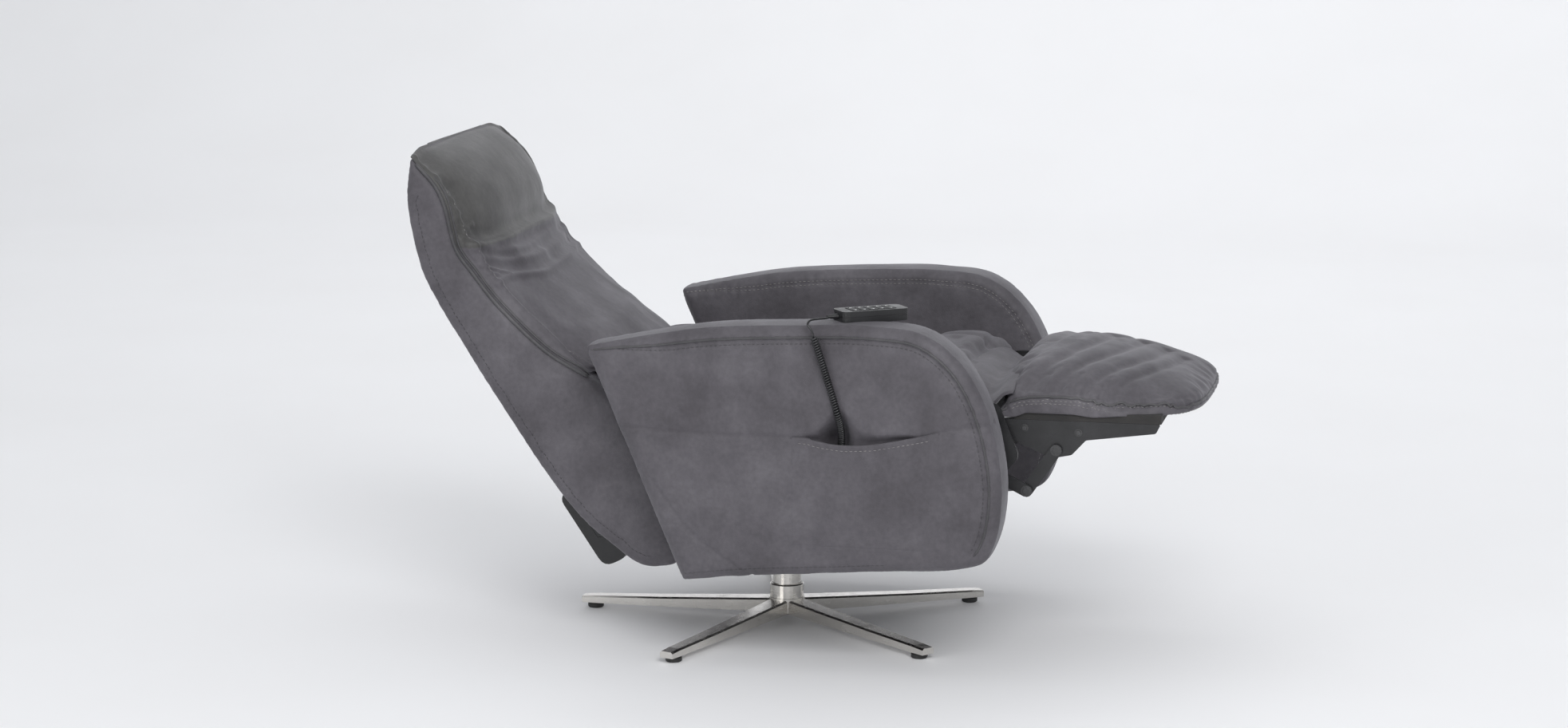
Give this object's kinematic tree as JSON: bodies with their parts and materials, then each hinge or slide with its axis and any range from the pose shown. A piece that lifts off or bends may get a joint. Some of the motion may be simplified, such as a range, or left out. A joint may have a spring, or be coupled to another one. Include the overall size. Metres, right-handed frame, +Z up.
{
  "type": "recliner armchair",
  "caption": "Powered reclining armchair on a star swivel base, with folding legrest, tilting headrest, side pocket and corded handset.",
  "frame": {"origin": "on the floor, at the middle of the chair's footprint as posed, without the handset lead", "axes": "+Z up; the chair faces -Y, so +Y is its rear; +X is the occupant's left"},
  "size_m": [0.7768, 1.3836, 0.8702],
  "materials": {
    "grey_leather": "soft brushed leather, matt, with a fine mottled nap",
    "head_leather": "soft leather, slightly smoother and shinier than the body's",
    "polished_steel": "polished stainless steel with a faint brush",
    "glide_plastic": "matt black",
    "black_steel": "black powder coat",
    "dark_board": "black-stained board under a dust cover",
    "black_plastic": "fine-textured black",
    "bright_rod": "ground bright steel",
    "handset_plastic": "fine-textured black",
    "key_rubber": "soft-touch black",
    "cord_sheath": "satin black"
  },
  "bodies": {
    "base": {"base_star": "polished_steel", "base_foot_1": "glide_plastic", "base_foot_2": "glide_plastic", "base_foot_3": "glide_plastic", "base_foot_4": "glide_plastic", "base_foot_5": "glide_plastic", "column_tube": "polished_steel", "column_collar": "polished_steel"},
    "seat_unit": {"swivel_spindle": "black_steel", "swivel_plate": "black_steel", "crossbar_rear": "black_steel", "crossbar_front": "black_steel", "side_plate_right": "black_steel", "side_plate_left": "black_steel", "seat_deck": "dark_board", "seat_cushion": "grey_leather", "arm_right": "grey_leather", "arm_left": "grey_leather", "arm_outer_pad_right": "grey_leather", "arm_outer_pad_left": "grey_leather", "arm_pocket_flap": "grey_leather", "arm_spacer_right": "dark_board", "arm_spacer_left": "dark_board", "leg_actuator": "black_plastic", "back_actuator": "black_plastic", "control_box": "black_plastic", "cord_grommet": "cord_sheath", "curly_cord": "cord_sheath", "cord_lead": "cord_sheath"},
    "legrest": {"legrest_board": "dark_board", "legrest_cushion": "grey_leather", "legrest_bracket_right": "black_steel", "legrest_bracket_left": "black_steel", "legrest_tube": "black_steel"},
    "strut_links": {"strut_link_right": "black_steel", "strut_link_left": "black_steel"},
    "lower_links": {"lower_link_right": "black_steel", "lower_link_left": "black_steel"},
    "leg_rod": {"leg_actuator_rod": "bright_rod"},
    "back_rod": {"back_actuator_rod": "bright_rod"},
    "back": {"back_shell": "grey_leather", "back_cushion": "grey_leather", "back_post_right": "black_steel", "back_post_left": "black_steel", "back_tube": "black_steel", "back_crossbar": "black_steel", "battery_dock": "black_plastic"},
    "headrest": {"headrest_shell": "grey_leather", "headrest_cushion": "head_leather", "headrest_plate": "black_steel"},
    "battery": {"battery_pack": "black_plastic"},
    "battery_latch": {"battery_latch": "black_plastic"},
    "handset": {"handset_lower_shell": "handset_plastic", "handset_upper_shell": "handset_plastic", "handset_strain_relief": "cord_sheath"},
    "rocker_1": {"handset_rocker_1": "key_rubber"},
    "rocker_2": {"handset_rocker_2": "key_rubber"},
    "rocker_3": {"handset_rocker_3": "key_rubber"},
    "rocker_4": {"handset_rocker_4": "key_rubber"},
    "rocker_5": {"handset_rocker_5": "key_rubber"}
  },
  "joints": [
    {"name": "swivel", "type": "hinge", "parent": "base", "child": "seat_unit", "pos_m": [0, 0.073, 0.2], "axis": [0, 0, 1], "continuous": true},
    {"name": "back_recline", "type": "hinge", "parent": "seat_unit", "child": "back", "pos_m": [0, 0.254, 0.413], "axis": [-1, 0, 0], "range_deg": [-32, 12]},
    {"name": "headrest_tilt", "type": "hinge", "parent": "back", "child": "headrest", "pos_m": [0, 0.626, 0.665], "axis": [-1, 0, 0], "range_deg": [-8, 25]},
    {"name": "legrest_fold", "type": "hinge", "parent": "seat_unit", "child": "legrest", "pos_m": [0, -0.322, 0.445], "axis": [1, 0, 0], "range_deg": [0, 88]},
    {"name": "lower_link", "type": "hinge", "parent": "seat_unit", "child": "lower_links", "pos_m": [0, -0.273, 0.374], "axis": [1, 0, 0], "range_deg": [-1, 89]},
    {"name": "strut_link", "type": "hinge", "parent": "legrest", "child": "strut_links", "pos_m": [0, -0.45, 0.382], "axis": [1, 0, 0], "range_deg": [-89, 1]},
    {"name": "leg_rod_slide", "type": "slide", "parent": "seat_unit", "child": "leg_rod", "axis": [0, 0.9925, -0.1219], "range_m": [-0.001, 0.1052]},
    {"name": "back_rod_slide", "type": "slide", "parent": "seat_unit", "child": "back_rod", "axis": [0, -1, 0], "range_m": [-0.0665, 0.0256]},
    {"name": "handset_lift", "type": "slide", "parent": "seat_unit", "child": "handset", "axis": [0, 0, 1], "range_m": [0, 0.15]},
    {"name": "battery_slide", "type": "slide", "parent": "back", "child": "battery", "axis": [0, 0.831, -0.5563], "range_m": [0, 0.06]},
    {"name": "battery_latch_press", "type": "slide", "parent": "battery", "child": "battery_latch", "axis": [1, 0, 0], "range_m": [0, 0.0025], "stiffness_N_per_m": 400},
    {"name": "rocker_1_press", "type": "hinge", "parent": "handset", "child": "rocker_1", "pos_m": [-0.3177, -0.1112, 0.6188], "axis": [0.5821, -0.8131, 0], "range_deg": [-4, 4], "stiffness_Nm_per_rad": 0.05},
    {"name": "rocker_2_press", "type": "hinge", "parent": "handset", "child": "rocker_2", "pos_m": [-0.3081, -0.1246, 0.6188], "axis": [0.5821, -0.8131, 0], "range_deg": [-4, 4], "stiffness_Nm_per_rad": 0.05},
    {"name": "rocker_3_press", "type": "hinge", "parent": "handset", "child": "rocker_3", "pos_m": [-0.2985, -0.138, 0.6188], "axis": [0.5821, -0.8131, 0], "range_deg": [-4, 4], "stiffness_Nm_per_rad": 0.05},
    {"name": "rocker_4_press", "type": "hinge", "parent": "handset", "child": "rocker_4", "pos_m": [-0.2889, -0.1514, 0.6188], "axis": [0.5821, -0.8131, 0], "range_deg": [-4, 4], "stiffness_Nm_per_rad": 0.05},
    {"name": "rocker_5_press", "type": "hinge", "parent": "handset", "child": "rocker_5", "pos_m": [-0.2793, -0.1648, 0.6188], "axis": [0.5821, -0.8131, 0], "range_deg": [-4, 4], "stiffness_Nm_per_rad": 0.05}
  ],
  "couplings": [
    {"joint": "lower_link", "follows": "legrest_fold", "ratio": 1},
    {"joint": "strut_link", "follows": "legrest_fold", "ratio": -1},
    {"joint": "leg_rod_slide", "follows": "legrest_fold", "m_per_rad": 0.0678},
    {"joint": "back_rod_slide", "follows": "back_recline", "m_per_rad": 0.1171}
  ]
}
